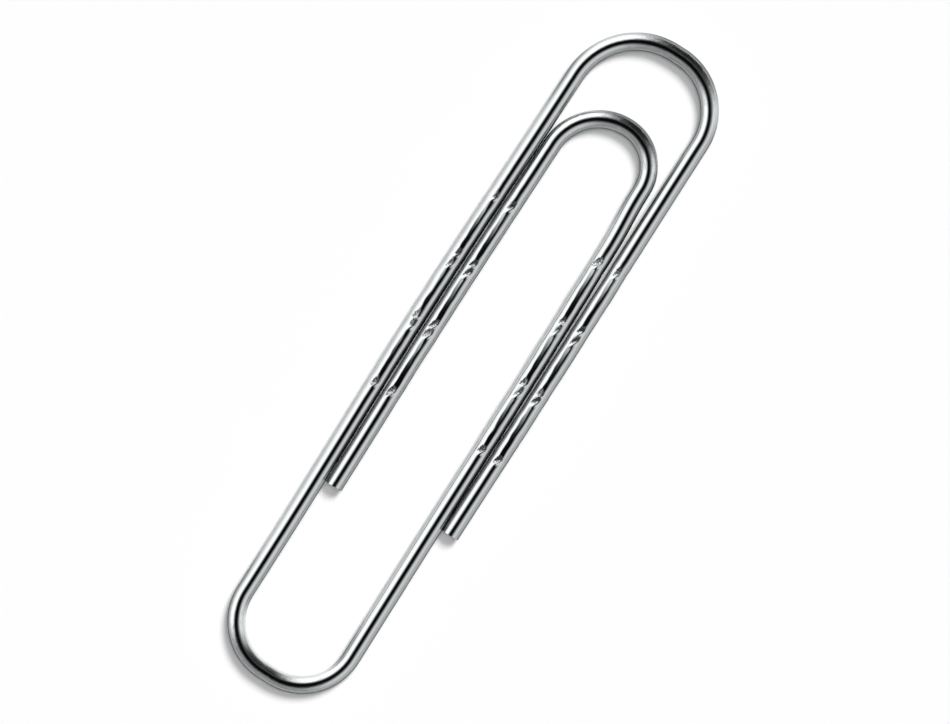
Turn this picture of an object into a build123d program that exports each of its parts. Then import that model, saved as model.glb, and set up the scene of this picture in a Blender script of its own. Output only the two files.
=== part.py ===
"""Paper clip of the nested-loop pattern, bent from one length of round plated steel wire.

Lying flat, the wire runs from cut end to cut end through these stretches: inner leg, inner bend,
tongue leg, bottom bend, back leg, outer bend, outer leg. Sheets slide in between the outer loop and
the tongue, which the inner bend leads. The wire twists a little in each of its three bends, so each
bend is two halves that meet, face to face, at the middle of its crown.

+Y points along the legs to the outer bend, +X across the clip to the outer leg, and +Z up. The
origin is under the middle of the outline, on the surface that the clip lies on.
"""

import os
from math import cos, radians, sin, tan

from build123d import *

# Wire and outline, in millimetres
wire_diameter = 1.2
clip_length = 50.0  # outside, from the crown of the bottom bend to the crown of the outer bend
clip_width = 10.6  # outside, from the back leg to the outer leg
wire_gap = 0.03  # between two wires that lie side by side, where they are closest
cut_chamfer = 0.05  # on the edge that the shears leave at each cut end

# Loops
inner_bend_drop = 5.8  # from the crown of the outer bend to the crown of the inner bend
outer_end_rise = 14.7  # from the crown of the bottom bend to the cut end of the outer leg
inner_end_rise = 13.3  # from the crown of the bottom bend to the cut end of the inner leg
tongue_lean = 0.35  # degrees that the tongue leg leans away from the outer leg, going up
outer_crown_flat = 0.5  # straight stretch at the crown of each bend, between its two arcs
bottom_crown_flat = 0.65
inner_crown_flat = 0.2
back_side_share = 0.528  # of the outer bend's two radii together, for the arc to the back leg
inner_leg_side_share = 0.547  # of the inner bend's two radii together, for the arc to the inner leg

# Grip notches: one tool presses one or two into the top of each leg, at the same stations on all four
station_notches = (1, 2, 2, 1)  # at each station, from the inner bend downwards
first_station_drop = 8.9  # from the top of the inner bend to the first station
last_station_rise = 6.15  # from the higher cut end to the last station
notch_depth = 0.06  # at the lower end of a notch, from where its floor slopes up to the wire's crown
notch_length = 0.5  # along that floor
notch_wall_run = 0.03  # how far the wall at the lower end leans outwards
notch_pitch = 0.7  # between the two notches of one station
tool_overrun = 0.2  # of the tool above the wire

# Where the wire's centre line runs
wire_radius = wire_diameter / 2
leg_pitch = wire_diameter + wire_gap
outer_x = clip_width / 2 - wire_radius
back_x = -outer_x
inner_x = back_x + leg_pitch
outer_crown_y = clip_length / 2 - wire_radius
bottom_crown_y = -outer_crown_y
inner_crown_y = outer_crown_y - inner_bend_drop
outer_end_y = outer_end_rise - clip_length / 2
inner_end_y = inner_end_rise - clip_length / 2

# The tongue leg is closest to the outer leg beside the outer leg's cut end, and leans from there
lean = radians(tongue_lean)
beside_end_x = outer_x - leg_pitch

# Each bend is as wide as the legs that it joins, so its radii follow from them
outer_radii = outer_x - back_x - outer_crown_flat
outer_back_radius = back_side_share * outer_radii
outer_leg_radius = outer_radii - outer_back_radius
bottom_span = beside_end_x + tan(lean) * (outer_end_y - bottom_crown_y) - back_x - bottom_crown_flat
bottom_radius = bottom_span / (1 + cos(lean) + tan(lean) * (1 + sin(lean)))
inner_span = beside_end_x - tan(lean) * (inner_crown_y - outer_end_y) - inner_x - inner_crown_flat
tongue_side_share = 1 - inner_leg_side_share
leaning_side_share = tongue_side_share * (cos(lean) - tan(lean) * (1 - sin(lean)))
inner_radii = inner_span / (inner_leg_side_share + leaning_side_share)
inner_leg_radius = inner_leg_side_share * inner_radii
inner_tongue_radius = inner_radii - inner_leg_radius

# The middle of each crown, where the two halves of a bend meet
outer_crown_x = back_x + outer_back_radius + outer_crown_flat / 2
bottom_crown_x = back_x + bottom_radius + bottom_crown_flat / 2
inner_crown_x = inner_x + inner_leg_radius + inner_crown_flat / 2

# Lower and upper end of each leg
outer_top_y = outer_crown_y - outer_leg_radius
back_top_y = outer_crown_y - outer_back_radius
back_foot_y = bottom_crown_y + bottom_radius
inner_top_y = inner_crown_y - inner_leg_radius
tongue_foot_x = bottom_crown_x + bottom_crown_flat / 2 + bottom_radius * cos(lean)
tongue_foot_y = bottom_crown_y + bottom_radius * (1 + sin(lean))
tongue_top_y = inner_crown_y - inner_tongue_radius * (1 - sin(lean))

# The stations are spread evenly between the first and the last
first_station_y = inner_crown_y + wire_radius - first_station_drop
last_station_y = max(outer_end_y, inner_end_y) + last_station_rise
station_pitch = (first_station_y - last_station_y) / (len(station_notches) - 1)


def draw_wire(path):
    """Draws the round wire along a path, into the sub-part that is being made, with its seam below."""
    with BuildSketch(Plane(origin=path @ 0, x_dir=(0, 0, -1), z_dir=path % 0)) as section:
        Circle(wire_radius)
    sweep(sections=section.sketch, path=path)


def draw_half_bend(crown_x, crown_y, side, flat, radius, turn):
    """Draws half of a bend: from the middle of its crown to one side (1 is +X), then round to the leg."""
    arc_start = (crown_x + side * flat / 2, crown_y)
    with BuildLine(Plane.XY.offset(wire_radius)) as path:
        Line((crown_x, crown_y), arc_start)
        JernArc(arc_start, (side, 0), radius, turn)
    draw_wire(path.line)


def draw_leg(foot_x, foot_y, top_y, lean_angle):
    """Draws a straight leg upwards from its foot and presses its grip notches."""
    along = Vector(-sin(lean_angle), cos(lean_angle), 0)
    foot = Vector(foot_x, foot_y, wire_radius)
    leg_plane = Plane(origin=foot, x_dir=along, z_dir=along.cross(Vector(0, 0, 1)))
    with BuildLine(leg_plane) as path:
        Line((0, 0), ((top_y - foot_y) / cos(lean_angle), 0))
    draw_wire(path.line)

    for number, notches in enumerate(station_notches):
        station = (first_station_y - number * station_pitch - foot_y) / cos(lean_angle)
        for notch in range(notches):
            press_notch(leg_plane, station + (notch - (notches - 1) / 2) * notch_pitch)


def press_notch(leg_plane, middle):
    """Cuts one notch across the top of a leg: a floor that slopes down, away from the bend, to a wall."""
    wall_foot = middle - notch_length / 2
    floor_top = wall_foot + notch_length * (notch_depth + tool_overrun) / notch_depth
    wall_top = wall_foot - notch_wall_run * (notch_depth + tool_overrun) / notch_depth
    with BuildSketch(leg_plane) as tool:
        with BuildLine():
            Polyline(
                (wall_foot, wire_radius - notch_depth),
                (floor_top, wire_radius + tool_overrun),
                (wall_top, wire_radius + tool_overrun),
                close=True,
            )
        make_face()
    extrude(tool.sketch, amount=wire_radius, both=True, mode=Mode.SUBTRACT)


# Outer loop: the outer leg hangs from the outer bend, and the back leg carries it
with BuildPart() as outer_leg:
    draw_leg(outer_x, outer_end_y, outer_top_y, 0)
    chamfer(outer_leg.edges().filter_by(GeomType.CIRCLE).sort_by(Axis.Y)[0], cut_chamfer)

with BuildPart() as outer_bend_outer_half:
    draw_half_bend(outer_crown_x, outer_crown_y, 1, outer_crown_flat, outer_leg_radius, -90)

with BuildPart() as outer_bend_back_half:
    draw_half_bend(outer_crown_x, outer_crown_y, -1, outer_crown_flat, outer_back_radius, 90)

with BuildPart() as back_leg:
    draw_leg(back_x, back_foot_y, back_top_y, 0)

# Bottom bend: joins the outer loop to the tongue
with BuildPart() as bottom_bend_back_half:
    draw_half_bend(bottom_crown_x, bottom_crown_y, -1, bottom_crown_flat, bottom_radius, -90)

with BuildPart() as bottom_bend_tongue_half:
    draw_half_bend(
        bottom_crown_x, bottom_crown_y, 1, bottom_crown_flat, bottom_radius, 90 + tongue_lean
    )

# Tongue: the tongue leg rises to the inner bend, and the inner leg hangs from it
with BuildPart() as tongue_leg:
    draw_leg(tongue_foot_x, tongue_foot_y, tongue_top_y, lean)

with BuildPart() as inner_bend_tongue_half:
    draw_half_bend(
        inner_crown_x, inner_crown_y, 1, inner_crown_flat, inner_tongue_radius, tongue_lean - 90
    )

with BuildPart() as inner_bend_inner_half:
    draw_half_bend(inner_crown_x, inner_crown_y, -1, inner_crown_flat, inner_leg_radius, 90)

with BuildPart() as inner_leg:
    draw_leg(inner_x, inner_end_y, inner_top_y, 0)
    chamfer(inner_leg.edges().filter_by(GeomType.CIRCLE).sort_by(Axis.Y)[0], cut_chamfer)

# One file for each stretch of the wire
stretches = {
    "outer_leg": outer_leg,
    "outer_bend_outer_half": outer_bend_outer_half,
    "outer_bend_back_half": outer_bend_back_half,
    "back_leg": back_leg,
    "bottom_bend_back_half": bottom_bend_back_half,
    "bottom_bend_tongue_half": bottom_bend_tongue_half,
    "tongue_leg": tongue_leg,
    "inner_bend_tongue_half": inner_bend_tongue_half,
    "inner_bend_inner_half": inner_bend_inner_half,
    "inner_leg": inner_leg,
}
os.makedirs("parts", exist_ok=True)
for name, stretch in stretches.items():
    stretch.part.label = name
    export_step(stretch.part, f"parts/{name}.step")

print(f"outer bend radii: back side {outer_back_radius:.3f}, outer leg side {outer_leg_radius:.3f}")
print(f"bottom bend radius {bottom_radius:.3f}")
print(f"inner bend radii: inner leg side {inner_leg_radius:.3f}, tongue side {inner_tongue_radius:.3f}")
print(f"outer crown ({outer_crown_x:.4f}, {outer_crown_y:.4f})")
print(f"bottom crown ({bottom_crown_x:.4f}, {bottom_crown_y:.4f})")
print(f"inner crown ({inner_crown_x:.4f}, {inner_crown_y:.4f})")
print(f"stations from {first_station_y:.3f} to {last_station_y:.3f}, {station_pitch:.3f} apart")
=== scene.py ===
from math import atan2, cos, pi, radians, sin, tan

import bpy
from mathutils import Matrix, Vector


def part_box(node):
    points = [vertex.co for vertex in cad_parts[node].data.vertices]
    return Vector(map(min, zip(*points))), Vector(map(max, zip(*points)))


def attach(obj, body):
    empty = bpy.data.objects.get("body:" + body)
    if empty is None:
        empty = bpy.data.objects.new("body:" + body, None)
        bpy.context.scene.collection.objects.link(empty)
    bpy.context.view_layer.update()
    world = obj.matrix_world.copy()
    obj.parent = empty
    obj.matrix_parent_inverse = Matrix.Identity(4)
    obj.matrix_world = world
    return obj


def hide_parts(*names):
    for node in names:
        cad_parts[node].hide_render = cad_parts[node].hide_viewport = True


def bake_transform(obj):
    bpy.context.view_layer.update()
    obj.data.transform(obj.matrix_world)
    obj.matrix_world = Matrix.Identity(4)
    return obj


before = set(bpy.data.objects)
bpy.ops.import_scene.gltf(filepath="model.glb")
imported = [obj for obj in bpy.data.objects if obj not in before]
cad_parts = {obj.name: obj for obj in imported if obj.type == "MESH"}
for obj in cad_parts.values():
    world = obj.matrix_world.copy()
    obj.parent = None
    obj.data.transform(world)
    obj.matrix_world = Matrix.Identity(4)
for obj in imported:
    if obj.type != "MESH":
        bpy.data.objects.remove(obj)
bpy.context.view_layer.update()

# Plated wire
# The clip is one length of mild steel wire, drawn round through a die, plated bright under a thin smoky
# film and bent cold. Fine die lines run along it, and a bend is stretched outside and scuffed inside. The
# film is left off the sides of the bends and legs that face the light, so that their rims read brighter:
# painted light. The flank of a leg that lies against another is painted dark: painted shade in the gap
# between them. The shears leave a bare, torn face at each end.
plating_dark = (0.70, 0.722, 0.722, 1)
plating_light = (0.80, 0.822, 0.822, 1)
plating_edge = (0.04, 0.04, 0.04, 1)  # what it keeps of its reflections where it is seen almost edge on
plating_roughness = 0.06
film_tint = (0.66, 0.665, 0.67, 1)
film_index = 1.02
film_roughness = 0.1
# where the film is left off, on the sides that face the light, so that their rims read brighter: painted
# light
lit_rim_edge = (1, 1, 1, 1)  # the same, where the film is gone
painted_gap_shade = (0.07, 0.07, 0.073, 1)  # painted shade, on the flank of a leg that lies beside another
rubbed_roughness = 0.5  # added where two legs rub
die_line_width = 0.00003
die_line_length_share = 0.015  # how much slower the lines change along the wire than round it
die_line_depth = 0.0000004
pit_size = 0.00011
pit_depth = 0.000001
pit_roughness = 0.08
pressed_dark = (0.24, 0.24, 0.25, 1)
pressed_light = (0.85, 0.85, 0.87, 1)
pressed_mottle = (0.4, 0.62)  # between which values of its noise it turns from dark to light
pressed_roughness = 0.16
press_grain = 0.0001
press_depth = 0.000012
stretch_mark_width = 0.00009
stretch_mark_length_share = 0.3
stretch_mark_depth = 0.00002
stretch_mark_edges = (0.52, 0.68)  # values of the noise at which a dull mark starts and is full
stretch_mark_roughness = (0.01, 0.2)
squeezed_roughness = 0.2
scuff_width = 0.00005
scuff_length_share = 0.06
scuff_depth = 0.000012
scuff_edges = (0.5, 0.66)
scuff_patch = 0.0011
scuff_patch_edges = (0.48, 0.62)
bare_steel_dark = (0.20, 0.20, 0.205, 1)
bare_steel_light = (0.46, 0.455, 0.45, 1)
torn_grain = 0.00008
torn_depth = 0.000012
torn_roughness = 0.3
torn_grain_roughness = 0.25


def add_node(tree, kind, inputs=None, **settings):
    """Adds a node to a tree, and sets or links its inputs."""
    node = tree.nodes.new(kind)
    for name, value in settings.items():
        setattr(node, name, value)
    for socket, value in (inputs or {}).items():
        if isinstance(value, bpy.types.NodeSocket):
            tree.links.new(value, node.inputs[socket])
        else:
            node.inputs[socket].default_value = value
    return node


def reckon(tree, operation, *values):
    """Adds one step of arithmetic to a tree and returns its result."""
    return add_node(tree, "ShaderNodeMath", dict(enumerate(values)), operation=operation).outputs[0]


def ramp_between(tree, value, low, high, low_result, high_result):
    """Adds a smooth ramp: low_result up to low, high_result from high on."""
    ends = {"From Min": low, "From Max": high, "To Min": low_result, "To Max": high_result}
    ramp = add_node(tree, "ShaderNodeMapRange", {"Value": value, **ends}, interpolation_type="SMOOTHSTEP")
    return ramp.outputs["Result"]


def blend_colours(tree, share, first, second):
    """Adds a blend of two colours and returns it."""
    blend = add_node(tree, "ShaderNodeMix", {"Factor": share}, data_type="RGBA")
    for socket, colour in ((blend.inputs[6], first), (blend.inputs[7], second)):
        if isinstance(colour, bpy.types.NodeSocket):
            tree.links.new(colour, socket)
        else:
            socket.default_value = colour
    return blend.outputs[2]


def add_noise(tree, place, size, detail, roughness):
    """Adds a noise with grains of a given size and returns its value."""
    settings = {"Vector": place, "Scale": 1 / size, "Detail": detail, "Roughness": roughness}
    return add_node(tree, "ShaderNodeTexNoise", settings).outputs["Fac"]


def draw_out(tree, place, length_share):
    """Returns the place on the wire, drawn out along it so that a noise turns into lines."""
    settings = {"Vector": place, "Scale": (1, 1, length_share)}
    return add_node(tree, "ShaderNodeMapping", settings).outputs["Vector"]


def read_mark(tree, name):
    """Returns how strongly a point of the wire carries one of the marks that its mesh stores."""
    return add_node(tree, "ShaderNodeAttribute", attribute_name=name).outputs["Fac"]


def raise_relief(tree, shader, relief):
    """Gives a shader a relief, in metres."""
    bump = add_node(tree, "ShaderNodeBump", {"Height": relief, "Strength": 1, "Distance": 1})
    tree.links.new(bump.outputs["Normal"], shader.inputs["Normal"])


def start_metal(name):
    """Starts a metal's material and returns it with its tree and its shader."""
    material = bpy.data.materials.new(name)
    material.use_nodes = True
    shader = material.node_tree.nodes["Principled BSDF"]
    shader.inputs["Metallic"].default_value = 1
    return material, material.node_tree, shader


def make_plated_wire():
    """Makes the plating, with the marks of the die, the press and the bending, and painted light and shade.
    """
    material, tree, shader = start_metal("bright_plated_wire")
    shader.inputs["Coat Roughness"].default_value = film_roughness
    shader.inputs["Coat IOR"].default_value = film_index
    shader.inputs["Coat Tint"].default_value = film_tint
    place = add_node(tree, "ShaderNodeAttribute", attribute_name="wire_place").outputs["Vector"]
    pressed = read_mark(tree, "pressed")
    stretched = read_mark(tree, "stretched")
    squeezed = read_mark(tree, "squeezed")
    worn = read_mark(tree, "worn")
    rubbed = read_mark(tree, "rubbed")
    gap_shade = read_mark(tree, "gap_shade")

    along_wire = draw_out(tree, place, die_line_length_share)
    die_lines = add_noise(tree, along_wire, die_line_width, detail=3, roughness=0.6)
    pits = add_noise(tree, place, pit_size, detail=4, roughness=0.65)
    along_bend = draw_out(tree, place, stretch_mark_length_share)
    stretch_marks = add_noise(tree, along_bend, stretch_mark_width, detail=4, roughness=0.6)
    along_pin = draw_out(tree, place, scuff_length_share)
    scuffs = add_noise(tree, along_pin, scuff_width, detail=2, roughness=0.5)
    scuff_patches = add_noise(tree, place, scuff_patch, detail=1, roughness=0.5)
    press_marks = add_noise(tree, place, press_grain, detail=3, roughness=0.6)

    # Colour, and the film over it
    tint = reckon(tree, "MULTIPLY_ADD", die_lines, 0.5, reckon(tree, "MULTIPLY", pits, 0.5))
    plating = blend_colours(tree, tint, plating_dark, plating_light)
    # Painted shade: the flank of a leg that faces its neighbour is darkened, as the gap between them is dark
    plating = blend_colours(tree, gap_shade, plating, painted_gap_shade)
    mottle = ramp_between(tree, press_marks, *pressed_mottle, 0, 1)
    bruise = blend_colours(tree, mottle, pressed_dark, pressed_light)
    tree.links.new(blend_colours(tree, pressed, plating, bruise), shader.inputs["Base Color"])
    # Painted light: the film is left off the sides that face the light, so that their rims read brighter
    tree.links.new(blend_colours(tree, worn, plating_edge, lit_rim_edge), shader.inputs["Specular Tint"])
    tree.links.new(reckon(tree, "SUBTRACT", 1, worn), shader.inputs["Coat Weight"])

    # Gloss
    roughness = reckon(tree, "MULTIPLY_ADD", pits, pit_roughness, plating_roughness)
    roughness = reckon(tree, "MULTIPLY_ADD", pressed, pressed_roughness, roughness)
    dull_marks = ramp_between(tree, stretch_marks, *stretch_mark_edges, *stretch_mark_roughness)
    roughness = reckon(tree, "MULTIPLY_ADD", dull_marks, stretched, roughness)
    roughness = reckon(tree, "MULTIPLY_ADD", squeezed, squeezed_roughness, roughness)
    roughness = reckon(tree, "MULTIPLY_ADD", rubbed, rubbed_roughness, roughness)
    tree.links.new(roughness, shader.inputs["Roughness"])

    # Relief
    relief = reckon(tree, "MULTIPLY", die_lines, die_line_depth)
    relief = reckon(tree, "MULTIPLY_ADD", pits, pit_depth, relief)
    bend_marks = reckon(tree, "MULTIPLY", stretch_marks, stretched)
    relief = reckon(tree, "MULTIPLY_ADD", bend_marks, stretch_mark_depth, relief)
    scuffed = reckon(tree, "MULTIPLY", ramp_between(tree, scuff_patches, *scuff_patch_edges, 0, 1), squeezed)
    pin_marks = reckon(tree, "MULTIPLY", ramp_between(tree, scuffs, *scuff_edges, 0, 1), scuffed)
    relief = reckon(tree, "MULTIPLY_ADD", pin_marks, scuff_depth, relief)
    notch_marks = reckon(tree, "MULTIPLY", press_marks, pressed)
    relief = reckon(tree, "MULTIPLY_ADD", notch_marks, press_depth, relief)
    raise_relief(tree, shader, relief)
    return material


def make_sheared_end():
    """Makes the bare, torn steel of a cut end."""
    material, tree, shader = start_metal("sheared_steel_end")
    place = add_node(tree, "ShaderNodeTexCoord").outputs["Object"]
    grain = add_noise(tree, place, torn_grain, detail=5, roughness=0.7)
    steel = blend_colours(tree, grain, bare_steel_dark, bare_steel_light)
    tree.links.new(steel, shader.inputs["Base Color"])
    roughness = reckon(tree, "MULTIPLY_ADD", grain, torn_grain_roughness, torn_roughness)
    tree.links.new(roughness, shader.inputs["Roughness"])
    raise_relief(tree, shader, reckon(tree, "MULTIPLY", grain, torn_depth))
    return material


plated_wire = make_plated_wire()
sheared_end = make_sheared_end()

# Inner leg
# The wire starts at a sheared end and runs straight up beside the back leg. One tool presses all four
# legs at four stations: it cuts one or two saw-tooth notches into the crown of the wire there, and
# between the stations each leg is left arched up a little.
bend_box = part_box("bottom_bend_back_half")
wire_radius = (bend_box[1].z - bend_box[0].z) / 2
bend_reach = 0.0005  # how far a bend's piece runs on into the straight legs
first_station_drop = 0.0089  # from the top of the inner bend
last_station_rise = 0.00615  # from the outer leg's cut end
station_count = 4
line_steps = 128  # of a centre line, between two of its knots
sharp_edge = radians(30)
inner_aside = 0.00005  # to the right of its solid, as the bending leaves it

first_station_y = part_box("inner_bend_inner_half")[1].y - first_station_drop
last_station_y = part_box("outer_leg")[0].y + last_station_rise

wire_sizes = {
    "Wire radius": wire_radius,
    "Ring spacing": 0.00007,
    "Ring sides": 72,
    "Ring crowding share": 0.75,  # how much closer than that the rings lie at a station
    "Cut bevel": 0.00005,
    "Last station": last_station_y,
    "Station pitch": (first_station_y - last_station_y) / (station_count - 1),
    "Station count": station_count,
    "Bow middle": 0.0015,
    "Bow reach": 0.016,
    "Turn length": 0.0036,
    "Notch depth": 0.00005,  # at the wall at its lower end
    "Notch length": 0.00052,  # along the floor, which curves up from there to the crown
    "Notch pitch": 0.0007,
    "Notch skew": 0.16,  # how far a notch tips to one side
    "Notch wander": 0.00007,  # most that it strays along the leg
    "Wall run": 0.00014,
    "Wall slant": 0.9,
    "Ragged depth": 0.00003,  # of the torn edge
    "Ragged size": 0.00016,
    "Burr height": 0.00004,  # pushed up beyond the wall
    "Burr length": 0.00015,
    "Burr reach": 0.00022,  # to either side
    "Unevenness": 0.00003,  # of a leg that was pressed
    "Unevenness size": 0.0011,
    "Flat depth": 0.000018,  # of the flat that the press leaves on each span
    "Flat turn": radians(18),  # at its upper end
    "Lit rim flank": 0.6,  # share of the film that is left off the open left side of a leg, so its rim reads brighter: painted light
    "Rub fade": 0.006,  # over which the rubbing of two legs fades
    "Kept film place": 0.57,  # along a bend, between its two shoulders, where the film is left off
}
stretch_sizes = {
    "Run before": 0,  # along the wire, from its first cut end
    "Cut at start": 0,
    "Cut at end": 0,
    "Bent": 0,
    "Worn inside": 0,  # share of the film that is left off the inner side of a bend, so its rim reads brighter: painted light
    "Worn outside": 0,
    "Arch height": 0,
    "Bow": 0,
    "Turn in": 0,  # of its upper end, towards the clip's middle
    "Upper end": 0,
    "Neighbour side": 0,  # 1 where another leg lies close on its right, -1 on its left
    "Pair foot": 0,  # lower end of the stretch where the two lie side by side
    "Pair top": 0,
    "Seed": 0,
}


def build_wire_tree():
    """Builds the tree that sweeps the wire along a centre line, arches it and presses its notches."""
    tree = bpy.data.node_groups.new("wire_stretch", "GeometryNodeTree")
    tree.interface.new_socket("Centre line", in_out="INPUT", socket_type="NodeSocketGeometry")
    for name in (*wire_sizes, *stretch_sizes):
        whole = name in ("Ring sides", "Station count", "Cut at start", "Cut at end", "Seed")
        kind = "NodeSocketInt" if whole else "NodeSocketFloat"
        tree.interface.new_socket(name, in_out="INPUT", socket_type=kind)
    tree.interface.new_socket("Wire", in_out="OUTPUT", socket_type="NodeSocketGeometry")
    given = add_node(tree, "NodeGroupInput").outputs

    def calc(operation, *values):
        return reckon(tree, operation, *values)

    def ramp(value, low, high, low_result, high_result):
        return ramp_between(tree, value, low, high, low_result, high_result)

    def split(vector):
        return add_node(tree, "ShaderNodeSeparateXYZ", {0: vector}).outputs

    def move(geometry, **offset):
        shift = add_node(tree, "ShaderNodeCombineXYZ", offset).outputs[0]
        return add_node(tree, "GeometryNodeSetPosition", {"Geometry": geometry, "Offset": shift}).outputs[0]

    def store(geometry, name, value, data_type="FLOAT"):
        node = add_node(
            tree,
            "GeometryNodeStoreNamedAttribute",
            {"Geometry": geometry, "Name": name, "Value": value},
            data_type=data_type,
            domain="POINT",
        )
        return node.outputs[0]

    def stored(name, data_type="FLOAT"):
        node = add_node(tree, "GeometryNodeInputNamedAttribute", {"Name": name}, data_type=data_type)
        return node.outputs[0]

    def roughen(size, detail):
        """Returns a noise by place, from -0.5 to 0.5."""
        settings = {"Vector": position, "Scale": calc("DIVIDE", 1, size), "Detail": detail}
        noise = add_node(tree, "ShaderNodeTexNoise", settings).outputs["Fac"]
        return calc("SUBTRACT", noise, 0.5)

    seed_step = 10  # more than the draws for one notch

    def vary(number, low, high, draw):
        """Returns a number between low and high that is each notch's own, and another for each draw."""
        seed = calc("MULTIPLY_ADD", given["Seed"], seed_step, draw)
        node = add_node(tree, "FunctionNodeRandomValue", {"ID": number, "Seed": seed}, data_type="FLOAT")
        node.inputs[2].default_value = low
        node.inputs[3].default_value = high
        return node.outputs[1]

    position = add_node(tree, "GeometryNodeInputPosition").outputs[0]
    place = split(position)
    last_number = calc("SUBTRACT", given["Station count"], 1)
    stations = calc("DIVIDE", calc("SUBTRACT", place["Y"], given["Last station"]), given["Station pitch"])

    # The centre line, in steps that are closer together at the stations
    line = add_node(
        tree,
        "GeometryNodeResampleCurve",
        {"Curve": given["Centre line"], "Length": given["Ring spacing"]},
        mode="LENGTH",
    ).outputs[0]
    line = add_node(tree, "GeometryNodeSetCurveNormal", {"Curve": line}, mode="Z_UP").outputs[0]
    from_middle = calc("ABSOLUTE", calc("MULTIPLY_ADD", last_number, -0.5, stations))
    near_stations = calc("LESS_THAN", from_middle, calc("MULTIPLY", given["Station count"], 0.5))
    wave = calc("SINE", calc("MULTIPLY", stations, 2 * pi))
    pitch_per_radian = calc("DIVIDE", given["Station pitch"], 2 * pi)
    most_shift = calc("MULTIPLY", given["Ring crowding share"], pitch_per_radian)
    shift = calc("MULTIPLY", calc("MULTIPLY", wave, most_shift), calc("MULTIPLY", near_stations, -1))
    heading = split(add_node(tree, "GeometryNodeInputTangent").outputs[0])
    across = calc("MULTIPLY", shift, calc("DIVIDE", heading["X"], heading["Y"]))
    line = move(line, X=across, Y=shift)

    # A leg arches up between the stations, bows to one side, and may turn in at its upper end
    run = add_node(tree, "GeometryNodeSplineParameter").outputs
    in_span = calc("FRACT", stations)
    arch = calc("MULTIPLY", in_span, calc("SUBTRACT", 1, in_span))
    arch = calc("MULTIPLY", calc("MULTIPLY", arch, 4), given["Arch height"])  # 4, as it is 1/4 in mid-span
    between = calc("MULTIPLY", calc("GREATER_THAN", stations, 0), calc("LESS_THAN", stations, last_number))
    from_bow = calc("DIVIDE", calc("SUBTRACT", place["Y"], given["Bow middle"]), given["Bow reach"])
    from_bow = calc("MINIMUM", calc("ABSOLUTE", from_bow), 1)
    swell = calc("POWER", calc("COSINE", calc("MULTIPLY", from_bow, pi / 2)), 2)
    turn_start = calc("SUBTRACT", given["Upper end"], given["Turn length"])
    turned = calc("MULTIPLY", ramp(place["Y"], turn_start, given["Upper end"], 0, 1), given["Turn in"])
    aside = calc("SUBTRACT", calc("MULTIPLY", swell, given["Bow"]), turned)
    line = move(line, X=aside, Z=calc("MULTIPLY", arch, between))

    # The shears round off the edge of a cut end
    ends = add_node(
        tree,
        "GeometryNodeCurveEndpointSelection",
        {"Start Size": given["Cut at start"], "End Size": given["Cut at end"]},
    ).outputs[0]
    bevel_share = calc("DIVIDE", given["Cut bevel"], given["Wire radius"])
    ring_share = calc("SUBTRACT", 1, calc("MULTIPLY", ends, bevel_share))
    line = add_node(tree, "GeometryNodeSetCurveRadius", {"Curve": line, "Radius": ring_share}).outputs[0]
    line = store(line, "run", calc("ADD", run["Length"], given["Run before"]))
    line = store(line, "share", run["Factor"])
    line = store(line, "axis", position, "FLOAT_VECTOR")

    # The round section, swept along it
    circle = add_node(
        tree,
        "GeometryNodeCurvePrimitiveCircle",
        {"Resolution": given["Ring sides"], "Radius": given["Wire radius"]},
        mode="RADIUS",
    ).outputs[0]
    section = store(circle, "section", position, "FLOAT_VECTOR")
    wire = add_node(
        tree,
        "GeometryNodeCurveToMesh",
        {"Curve": line, "Profile Curve": section, "Fill Caps": True},
    ).outputs[0]

    # The press leaves the legs a little uneven, up to a part of a pitch past the outermost stations
    uneven_reach = 0.6
    past_stations = calc("SUBTRACT", from_middle, calc("MULTIPLY", last_number, 0.5))
    uneven_share = ramp(past_stations, 0, uneven_reach, 2, 0)  # twice, as roughen gives half to either side
    swelling = calc("MULTIPLY", roughen(given["Unevenness size"], 1), uneven_share)
    swelling = calc("MULTIPLY", swelling, given["Unevenness"])
    surface_normal = add_node(tree, "GeometryNodeInputNormal").outputs[0]
    outwards = add_node(
        tree, "ShaderNodeVectorMath", {0: surface_normal, "Scale": swelling}, operation="SCALE"
    ).outputs[0]
    wire = add_node(tree, "GeometryNodeSetPosition", {"Geometry": wire, "Offset": outwards}).outputs[0]

    # It leaves a flat on the crown of each span, level at the lower end and turned to one side at the upper
    from_axis = add_node(
        tree, "ShaderNodeVectorMath", {0: position, 1: stored("axis", "FLOAT_VECTOR")}, operation="SUBTRACT"
    ).outputs[0]
    from_axis = split(from_axis)
    flat_turn = calc("MULTIPLY", in_span, given["Flat turn"])
    flat_x = calc("MULTIPLY", calc("SINE", flat_turn), -1)
    flat_z = calc("COSINE", flat_turn)
    towards_flat = calc("MULTIPLY_ADD", from_axis["X"], flat_x, calc("MULTIPLY", from_axis["Z"], flat_z))
    flat_height = calc("SUBTRACT", given["Wire radius"], given["Flat depth"])
    pressed_in = calc("MAXIMUM", calc("SUBTRACT", towards_flat, flat_height), 0)
    pressed_in = calc("MULTIPLY", calc("MULTIPLY", pressed_in, between), -1)
    wire = move(wire, X=calc("MULTIPLY", pressed_in, flat_x), Z=calc("MULTIPLY", pressed_in, flat_z))

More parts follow.
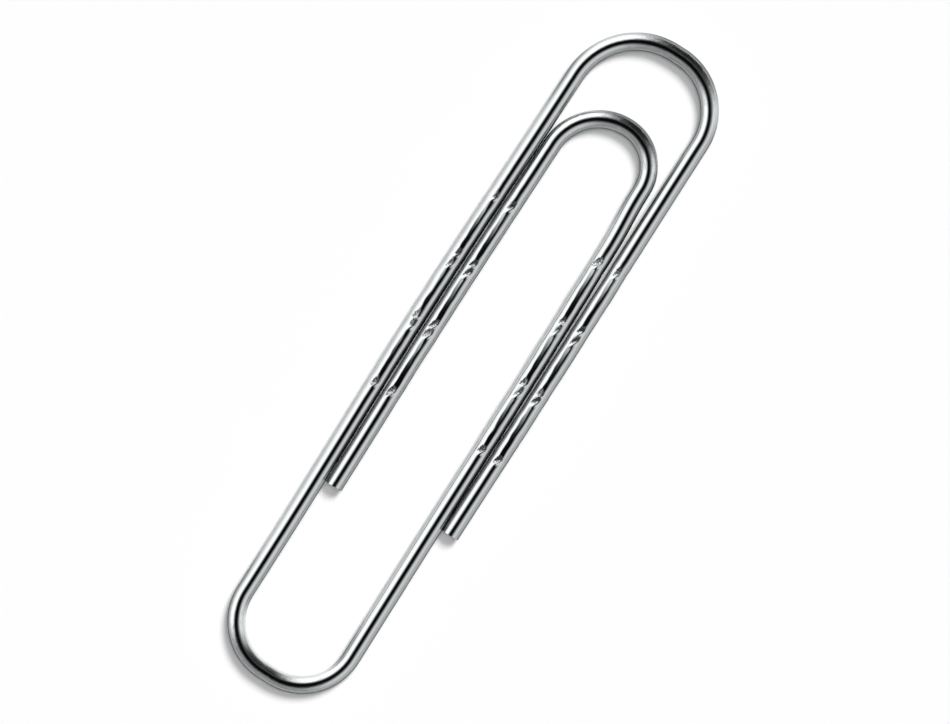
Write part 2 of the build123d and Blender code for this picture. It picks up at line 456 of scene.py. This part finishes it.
    # Which notch a point is nearest to, and how far it is above the foot of that notch's wall
    number = calc("MAXIMUM", calc("MINIMUM", calc("ROUND", stations), last_number), 0)
    from_station = calc("MULTIPLY", calc("SUBTRACT", stations, number), given["Station pitch"])
    number_from_middle = calc("ABSOLUTE", calc("MULTIPLY_ADD", last_number, -0.5, number))
    two_notches = calc("LESS_THAN", number_from_middle, 1)
    upper = calc("GREATER_THAN", calc("ADD", from_station, given["Burr length"]), 0)
    half_pitch = calc("MULTIPLY", calc("MULTIPLY", given["Notch pitch"], 0.5), two_notches)
    to_notch = calc("MULTIPLY", half_pitch, calc("MULTIPLY_ADD", upper, 2, -1))
    notch_number = calc("MULTIPLY_ADD", number, 2, calc("MULTIPLY", upper, two_notches))
    to_notch = calc("MULTIPLY_ADD", given["Notch wander"], vary(notch_number, -1, 1, draw=3), to_notch)
    slant = calc("MULTIPLY", given["Wall slant"], vary(notch_number, 0.4, 1.4, draw=4))
    from_foot = calc("MULTIPLY_ADD", given["Notch length"], 0.5, calc("SUBTRACT", from_station, to_notch))
    from_foot = calc("SUBTRACT", from_foot, calc("MULTIPLY", slant, from_axis["X"]))

    # Its floor curves down to the wall, which stands up again, and its edge is torn
    depth = calc("MULTIPLY", given["Notch depth"], vary(notch_number, 0.6, 1.2, draw=1))
    skew = calc("MULTIPLY", given["Notch skew"], vary(notch_number, 0.2, 1.8, draw=2))
    foot_height = calc("SUBTRACT", given["Wire radius"], depth)
    floor_share = calc("POWER", calc("MAXIMUM", calc("DIVIDE", from_foot, given["Notch length"]), 0), 2)
    wall_share = calc("DIVIDE", from_foot, calc("MULTIPLY", given["Wall run"], -1))
    rise = calc("MULTIPLY", depth, calc("MAXIMUM", floor_share, wall_share))
    ragged = calc("MULTIPLY", roughen(given["Ragged size"], 2), given["Ragged depth"])
    tipped = calc("MULTIPLY_ADD", skew, from_axis["X"], calc("ADD", rise, ragged))
    notch_height = calc("ADD", foot_height, tipped)
    near_notch = calc("LESS_THAN", calc("ABSOLUTE", from_foot), given["Notch length"])
    dent = calc("MULTIPLY", calc("MAXIMUM", calc("SUBTRACT", from_axis["Z"], notch_height), 0), near_notch)

    # A burr stands up beyond the wall
    bruised_share = 0.15  # of a notch's depth, from which on the metal is bruised all through
    burr_middle = calc("MULTIPLY_ADD", given["Burr length"], 0.5, given["Wall run"])
    along_burr = calc("DIVIDE", calc("ADD", from_foot, burr_middle), given["Burr length"])
    across_burr = calc("DIVIDE", from_axis["X"], given["Burr reach"])
    off_burr = calc("ADD", calc("POWER", along_burr, 2), calc("POWER", across_burr, 2))
    burr = calc("MULTIPLY", given["Burr height"], vary(notch_number, 0.5, 1.3, draw=5))
    burr = calc("MULTIPLY", burr, calc("MAXIMUM", calc("SUBTRACT", 1, off_burr), 0))
    burr = calc("MULTIPLY", burr, calc("GREATER_THAN", from_axis["Z"], 0))
    bruised = calc("DIVIDE", dent, calc("MULTIPLY", depth, bruised_share))
    wire = store(wire, "pressed", calc("MINIMUM", bruised, 1))
    wire = move(wire, Z=calc("SUBTRACT", burr, dent))

    # What the material reads: the place on the wire, and how far a bend stretches and squeezes it there
    bend_fade = (0.05, 0.2)  # shares of a bend's run in which its marks set in
    stretched_side = (-0.8, 0.2)  # across the section, in wire radii towards the inside of the bend
    squeezed_side = (0.2, 0.7)
    on_section = split(stored("section", "FLOAT_VECTOR"))
    wire_place = add_node(
        tree,
        "ShaderNodeCombineXYZ",
        {"X": on_section["X"], "Y": on_section["Y"], "Z": stored("run")},
    ).outputs[0]
    wire = store(wire, "wire_place", wire_place, "FLOAT_VECTOR")
    share = stored("share")
    from_end = calc("MINIMUM", share, calc("SUBTRACT", 1, share))
    in_bend = ramp(from_end, *bend_fade, 0, given["Bent"])
    inwards = calc("DIVIDE", on_section["X"], given["Wire radius"])
    stretched = calc("MULTIPLY", in_bend, ramp(inwards, *stretched_side, 1, 0))
    squeezed = calc("MULTIPLY", in_bend, ramp(inwards, *squeezed_side, 0, 1))
    wire = store(wire, "stretched", stretched)
    wire = store(wire, "squeezed", squeezed)

    # The film is left off the shoulders or the inside of a bend, and off the open left side of a leg, the
    # sides that face the light, so that their rims read brighter: painted light
    kept_film = (0.1, 0.25)  # shares of a bend's run from the middle of the film that is kept
    open_side = (-0.9, -0.5)  # across the section, in wire radii towards the neighbouring leg
    open_fade = (0, 0.08)  # shares of a leg's run
    from_kept_film = calc("ABSOLUTE", calc("SUBTRACT", share, given["Kept film place"]))
    worn = calc("MULTIPLY", stretched, ramp(from_kept_film, *kept_film, 0, given["Worn outside"]))
    worn = calc("MULTIPLY_ADD", squeezed, given["Worn inside"], worn)
    facing = calc("DIVIDE", calc("MULTIPLY", from_axis["X"], given["Neighbour side"]), given["Wire radius"])
    lit_rim_flank = ramp(from_end, *open_fade, 0, given["Lit rim flank"])
    open_flank = calc("MULTIPLY", ramp(facing, *open_side, 1, 0), lit_rim_flank)
    on_left = calc("MAXIMUM", given["Neighbour side"], 0)
    wire = store(wire, "worn", calc("MULTIPLY_ADD", open_flank, on_left, worn))

    # Two legs that lie side by side rub each other dull, and the left one's flank towards the other is
    # darkened: painted shade in the gap between them
    rubbed_side = (0.5, 0.85)
    fade_at_foot = (0, 0.25)  # shares of the rub's fade
    fade_at_top = (-0.2, 0.8)
    above_foot = calc("DIVIDE", calc("SUBTRACT", place["Y"], given["Pair foot"]), given["Rub fade"])
    below_top = calc("DIVIDE", calc("SUBTRACT", given["Pair top"], place["Y"]), given["Rub fade"])
    beside = calc("MULTIPLY", ramp(above_foot, *fade_at_foot, 0, 1), ramp(below_top, *fade_at_top, 0, 1))
    rubbed = calc("MULTIPLY", ramp(facing, *rubbed_side, 0, 1), beside)
    wire = store(wire, "rubbed", rubbed)
    wire = store(wire, "gap_shade", calc("MULTIPLY", rubbed, on_left))
    for name in ("run", "share", "axis", "section"):
        wire = add_node(tree, "GeometryNodeRemoveAttribute", {"Geometry": wire, "Name": name}).outputs[0]

    # Plating all over, and bare steel on the end faces, which have more corners than those along the wire
    side_corners = 4
    wire = add_node(tree, "GeometryNodeSetShadeSmooth", {"Geometry": wire}).outputs[0]
    wire = add_node(tree, "GeometryNodeRealizeInstances", {"Geometry": wire}).outputs[0]
    wire = add_node(tree, "GeometryNodeSetMaterial", {"Geometry": wire, "Material": plated_wire}).outputs[0]
    corners = add_node(tree, "GeometryNodeInputMeshFaceNeighbors").outputs["Vertex Count"]
    end_face = calc("GREATER_THAN", corners, side_corners)
    bare_ends = {"Geometry": wire, "Selection": end_face, "Material": sheared_end}
    wire = add_node(tree, "GeometryNodeSetMaterial", bare_ends).outputs[0]
    add_node(tree, "NodeGroupOutput", {"Wire": wire})
    return tree


wire_tree = build_wire_tree()


def lay_centre_line(name, knots):
    """Draws a centre line through knots: a place, a heading, and the reach of its two handles."""
    line = bpy.data.curves.new(name + "_centre_line", "CURVE")
    line.dimensions = "3D"
    line.resolution_u = line_steps
    spline = line.splines.new("BEZIER")
    spline.bezier_points.add(len(knots) - 1)
    for point, (place, heading, reach_before, reach_after) in zip(spline.bezier_points, knots):
        point.handle_left_type = "FREE"
        point.handle_right_type = "FREE"
        point.co = place
        point.handle_left = place - heading * reach_before
        point.handle_right = place + heading * reach_after
    return line


def form_wire(name, knots, run_before, **own_sizes):
    """Forms one piece of the wire round its centre line. Returns it, and the run to its far end."""
    line = lay_centre_line(name, knots)
    route = bpy.data.objects.new(name + "_route", line)
    bpy.context.scene.collection.objects.link(route)
    modifier = route.modifiers.new("wire_stretch", "NODES")
    modifier.node_group = wire_tree
    own_sizes = {key.replace("_", " ").capitalize(): value for key, value in own_sizes.items()}
    sizes = {**wire_sizes, **stretch_sizes, "Run before": run_before, **own_sizes}
    for socket in wire_tree.interface.items_tree:
        if socket.name in sizes:
            modifier[socket.identifier] = sizes[socket.name]
    evaluated = route.evaluated_get(bpy.context.evaluated_depsgraph_get())
    mesh = bpy.data.meshes.new_from_object(evaluated)
    mesh.name = name
    mesh.set_sharp_from_angle(angle=sharp_edge)
    piece = bpy.data.objects.new(name, mesh)
    bpy.context.scene.collection.objects.link(piece)
    bpy.data.objects.remove(route)
    return piece, run_before + line.splines[0].calc_length()


def read_leg(node, foot_aside, top_aside):
    """Returns the lower and the upper end of a leg's centre line, each a little aside from its solid's."""
    low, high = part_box(node)
    lean = (high.x - low.x - 2 * wire_radius) / (high.y - low.y)
    inset = wire_radius * lean
    foot = Vector((high.x - wire_radius + foot_aside, low.y + inset, wire_radius))
    top = Vector((low.x + wire_radius + top_aside, high.y - inset, wire_radius))
    return foot, top


def knot_line(start, end):
    """Returns the knots of a straight run."""
    run = end - start
    heading = run.normalized()
    reach = run.length / 3
    return [(start, heading, 0, reach), (end, heading, reach, 0)]


up = Vector((0, 1, 0))
inner_foot, inner_top = read_leg("inner_leg", inner_aside, inner_aside)
inner_leg, run = form_wire(
    "inner_leg_wire",
    knot_line(inner_foot, inner_top - up * bend_reach),
    run_before=0,
    cut_at_start=1,
    arch_height=0.0001,
    bow=-0.00011,
    neighbour_side=-1,
    pair_foot=inner_foot.y - wire_radius,
    pair_top=inner_top.y,
    seed=1,
)
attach(inner_leg, "inner_arm")
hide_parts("inner_leg")

# Inner bend
# The smallest of three half turns, which leads the tongue. Each bend is two arcs with a short straight
# between them at the crown. The wire twists there when a leg is lifted.
right = Vector((1, 0, 0))
tongue_foot_aside = 0.0001
tongue_turn_in = 0.00015  # of the tongue leg's upper end


def knot_bend(start, end, start_up, end_up, crown_y):
    """Returns the knots of a bend from the end of one leg to the end of the next."""
    side = 1 if end.x > start.x else -1
    rise = 1 if crown_y > start.y else -1
    arcs = []
    for foot, leg_up, hand in ((start, start_up, -side), (end, end_up, side)):
        lean = atan2(-leg_up.x * hand, leg_up.y) * rise
        turn = pi / 2 - lean
        radius = abs(crown_y - foot.y) / (1 - sin(lean))
        arc_top = Vector((foot.x - hand * radius * cos(lean), crown_y, foot.z))
        arc_reach = 4 / 3 * tan(turn / 4) * radius  # of the handles that lay a curve along the arc
        arcs.append((foot, leg_up * rise, arc_top, arc_reach))
    (foot, heading, arc_top, reach), (end_foot, end_heading, end_arc_top, end_reach) = arcs
    crown_heading = right * side
    flat = (end_arc_top - arc_top).length / 3
    straight = bend_reach / 3
    return [
        (foot - heading * bend_reach, heading, 0, straight),
        (foot, heading, straight, reach),
        (arc_top, crown_heading, reach, flat),
        (end_arc_top, crown_heading, flat, end_reach),
        (end_foot, -end_heading, end_reach, straight),
        (end_foot - end_heading * bend_reach, -end_heading, straight, 0),
    ]


def twist_bend(piece):
    """Bakes the place of a bend's piece into its mesh."""
    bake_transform(piece)


tongue_foot, tongue_top = read_leg("tongue_leg", tongue_foot_aside, 0)
tongue_up = (tongue_top - tongue_foot).normalized()
inner_crown_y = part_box("inner_bend_inner_half")[1].y - wire_radius
inner_bend, run = form_wire(
    "inner_bend_wire",
    knot_bend(inner_top, tongue_top - right * tongue_turn_in, up, tongue_up, inner_crown_y),
    run,
    bent=1,
    # its film is left off its outer shoulders, so that their rims read brighter: painted light
    worn_outside=0.7,
)
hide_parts("inner_bend_inner_half", "inner_bend_tongue_half")
twist_bend(inner_bend)

# Tongue leg
# The long leg that presses on the sheets. It comes down from the inner bend beside the outer leg and
# runs on past that leg's end to the bottom bend. Its film is left off the side towards the clip's middle,
# so that the rim there reads brighter: painted light. Its flank towards the outer leg is darkened:
# painted shade in the gap between them.
outer_aside = 0.00005  # of the outer leg, from its solid

outer_foot, outer_top = read_leg("outer_leg", outer_aside, outer_aside)
tongue_leg, run = form_wire(
    "tongue_leg_wire",
    knot_line(tongue_top - tongue_up * bend_reach, tongue_foot + tongue_up * bend_reach),
    run,
    arch_height=0.00016,
    bow=0.00007,
    turn_in=tongue_turn_in,
    upper_end=tongue_top.y - bend_reach,
    neighbour_side=1,
    pair_foot=outer_foot.y,
    pair_top=inner_top.y,
    seed=2,
)
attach(tongue_leg, "tongue")
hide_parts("tongue_leg")

# Bottom bend
# The half turn at the foot of the clip, between the tongue leg and the back leg. Its film is left off
# its inner side, which faces the light, so that the rim there reads brighter: painted light.
back_aside = 0.00009  # of the back leg, from its solid

bottom_crown_y = bend_box[0].y + wire_radius
back_foot, back_top = read_leg("back_leg", back_aside, back_aside)
bottom_bend, run = form_wire(
    "bottom_bend_wire",
    knot_bend(tongue_foot, back_foot, tongue_up, up, bottom_crown_y),
    run,
    bent=1,
    worn_inside=1,
)
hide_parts("bottom_bend_tongue_half", "bottom_bend_back_half")
twist_bend(bottom_bend)

# Back leg
# The longest leg, which carries both ends of the wire. It bows outwards a little, it is pressed less deep
# than the others, and the film is left off its outer side so that its rim reads brighter: painted light.
# Its flank towards the inner leg is darkened: painted shade in the gap between them.
back_leg, run = form_wire(
    "back_leg_wire",
    knot_line(back_foot + up * bend_reach, back_top - up * bend_reach),
    run,
    arch_height=0.00004,
    notch_depth=0.00003,
    flat_depth=0.000008,
    bow=-0.0002,
    bow_reach=0.02,
    neighbour_side=1,
    pair_foot=inner_foot.y,
    pair_top=inner_top.y,
    seed=3,
)
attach(back_leg, "back_arm")
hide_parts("back_leg")

# Outer bend
# The largest half turn, at the head of the clip, between the back leg and the outer leg. Like the inner
# bend, its film is left off most of its two shoulders, so that their rims read brighter: painted light.
outer_crown_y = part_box("outer_bend_back_half")[1].y - wire_radius
outer_bend, run = form_wire(
    "outer_bend_wire",
    knot_bend(back_top, outer_top, up, up, outer_crown_y),
    run,
    bent=1,
    worn_outside=0.7,
)
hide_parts("outer_bend_back_half", "outer_bend_outer_half")
twist_bend(outer_bend)

# Outer leg
# The last leg, which runs straight down beside the tongue leg to the wire's second sheared end. It is
# arched and pressed like the tongue leg, and the two rub each other.
outer_leg, run = form_wire(
    "outer_leg_wire",
    knot_line(outer_top - up * bend_reach, outer_foot),
    run,
    cut_at_end=1,
    arch_height=0.00016,
    bow=0.00005,
    neighbour_side=-1,
    pair_foot=outer_foot.y - wire_radius,
    pair_top=inner_top.y,
    seed=4,
)
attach(outer_leg, "outer_arm")
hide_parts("outer_leg")

# Floor
# A plain white sheet, matt, that the clip lies on and that is no piece of it. It shows white and keeps
# the clip's soft shadow.
floor_half_width = 1.5
floor_white = (0.88, 0.88, 0.88, 1)
floor_roughness = 0.9

floor_mesh = bpy.data.meshes.new("floor")
floor_signs = ((-1, -1), (1, -1), (1, 1), (-1, 1))
floor_corners = [(x * floor_half_width, y * floor_half_width, 0) for x, y in floor_signs]
floor_mesh.from_pydata(floor_corners, [], [(0, 1, 2, 3)])
floor = bpy.data.objects.new("floor", floor_mesh)
bpy.context.scene.collection.objects.link(floor)
white_sheet = bpy.data.materials.new("white_sheet")
white_sheet.use_nodes = True
sheet_shader = white_sheet.node_tree.nodes["Principled BSDF"]
sheet_shader.inputs["Base Color"].default_value = floor_white
sheet_shader.inputs["Roughness"].default_value = floor_roughness
sheet_shader.inputs["Specular IOR Level"].default_value = 0
floor_mesh.materials.append(white_sheet)

# The sheet lies under the lowest of the three ends that can swing down, so that no leg passes through it
inner_crown = Vector(((inner_top.x + tongue_top.x) / 2, inner_crown_y, wire_radius))
for end_name, end_place, end_body in (
    ("inner_leg_end", inner_foot, "inner_arm"),
    ("inner_bend_crown", inner_crown, "tongue"),
    ("outer_leg_end", outer_foot, "outer_arm"),
):
    swinging_end = bpy.data.objects.new(end_name, None)
    swinging_end.location = end_place
    bpy.context.scene.collection.objects.link(swinging_end)
    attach(swinging_end, end_body)
    lie_under = floor.constraints.new("FLOOR")
    lie_under.target = swinging_end
    lie_under.floor_location = "FLOOR_NEGATIVE_Z"
    lie_under.offset = -wire_radius

# Studio light
# Four soft panels stand round the clip under a dark ceiling, and they are what the wire reflects. A soft
# lamp beyond the outer bend throws the clip's shadow on the floor, and a broader one shines from overhead.
# A panel's turn is from +X, and its tilt from straight up, in degrees.
ceiling_level = 0.003
wall_level = 0.03  # between the panels
ceiling_edge = radians(15)
wall_top = radians(40)
panel_edge = radians(17)  # over which a panel fades at either side
back_panel = dict(middle=167, half_width=56, dark_to=12, light_from=46, foot=90, foot_share=0.7, level=2.2)
outer_panel = dict(middle=2, half_width=49, dark_to=13, light_from=51, foot=90, foot_share=0.7, level=1.2)
bottom_panel = dict(middle=262, half_width=52, dark_to=22, light_from=60, foot=90, foot_share=0.7, level=0.55)
head_panel = dict(middle=70, half_width=38, dark_to=6, light_from=18, foot=36, foot_share=0, level=0.1)


def light_panel(tree, turn, tilt, middle, half_width, dark_to, light_from, foot, foot_share, level):
    """Returns the light of a panel by direction: full at light_from, and foot_share of that at its foot."""
    from_middle = reckon(tree, "WRAP", reckon(tree, "SUBTRACT", turn, radians(middle)), pi, -pi)
    from_middle = reckon(tree, "ABSOLUTE", from_middle)
    inside = radians(half_width) - panel_edge
    outside = radians(half_width) + panel_edge
    across = ramp_between(tree, from_middle, inside, outside, level, 0)
    upwards = ramp_between(tree, tilt, radians(dark_to), radians(light_from), 0, 1)
    downwards = ramp_between(tree, tilt, radians(light_from), radians(foot), 1, foot_share)
    return reckon(tree, "MULTIPLY", across, reckon(tree, "MULTIPLY", upwards, downwards))


def add_soft_lamp(name, turn, height, spread, strength):
    """Adds a far, soft lamp by its direction, which the wire doesn't reflect."""
    lamp = bpy.data.lights.new(name, "SUN")
    lamp.energy = strength
    lamp.angle = radians(spread)
    level_reach = cos(radians(height))
    place = Vector((cos(radians(turn)) * level_reach, sin(radians(turn)) * level_reach, sin(radians(height))))
    shine = bpy.data.objects.new(name, lamp)
    shine.rotation_euler = place.to_track_quat("Z", "Y").to_euler()
    shine.visible_glossy = False
    bpy.context.scene.collection.objects.link(shine)


add_soft_lamp("shadow_lamp", turn=82, height=52, spread=24, strength=2.79)
add_soft_lamp("overhead_lamp", turn=0, height=90, spread=40, strength=1.34)

world = bpy.data.worlds.new("studio")
bpy.context.scene.world = world
world.use_nodes = True
world.cycles_visibility.diffuse = False
world_tree = world.node_tree
direction = add_node(world_tree, "ShaderNodeTexCoord").outputs["Generated"]
direction = add_node(world_tree, "ShaderNodeSeparateXYZ", {0: direction}).outputs
turn = reckon(world_tree, "ARCTAN2", direction["Y"], direction["X"])
tilt = reckon(world_tree, "ARCCOSINE", direction["Z"])
light = ramp_between(world_tree, tilt, ceiling_edge, wall_top, ceiling_level, wall_level)
for panel in (back_panel, outer_panel, bottom_panel, head_panel):
    light = reckon(world_tree, "ADD", light, light_panel(world_tree, turn, tilt, **panel))
background = world_tree.nodes["Background"]
background.inputs["Color"].default_value = (1, 1, 1, 1)
world_tree.links.new(light, background.inputs["Strength"])

# Camera
# It looks straight down through a long lens, turned so that the clip lies aslant as in the photograph.
# The photograph's width and height, and the clip's middle in it, are in its pixels.
photo_width = 950
photo_height = 724
pixels_per_metre = 15200
clip_turn = radians(32.6)
clip_middle = (473.4, 364.5)
lens = 200

camera_data = bpy.data.cameras.new("camera")
camera_data.lens = lens
camera = bpy.data.objects.new("camera", camera_data)
bpy.context.scene.collection.objects.link(camera)
view_right = Vector((cos(clip_turn), sin(clip_turn), 0))
view_up = Vector((-sin(clip_turn), cos(clip_turn), 0))
to_right = (photo_width / 2 - clip_middle[0]) / pixels_per_metre
to_top = (clip_middle[1] - photo_height / 2) / pixels_per_metre
distance = photo_width / pixels_per_metre * lens / camera_data.sensor_width
camera.location = view_right * to_right + view_up * to_top + Vector((0, 0, wire_radius + distance))
camera.rotation_euler = (0, 0, clip_turn)
bpy.context.scene.camera = camera
bpy.context.scene.view_settings.view_transform = "Standard"
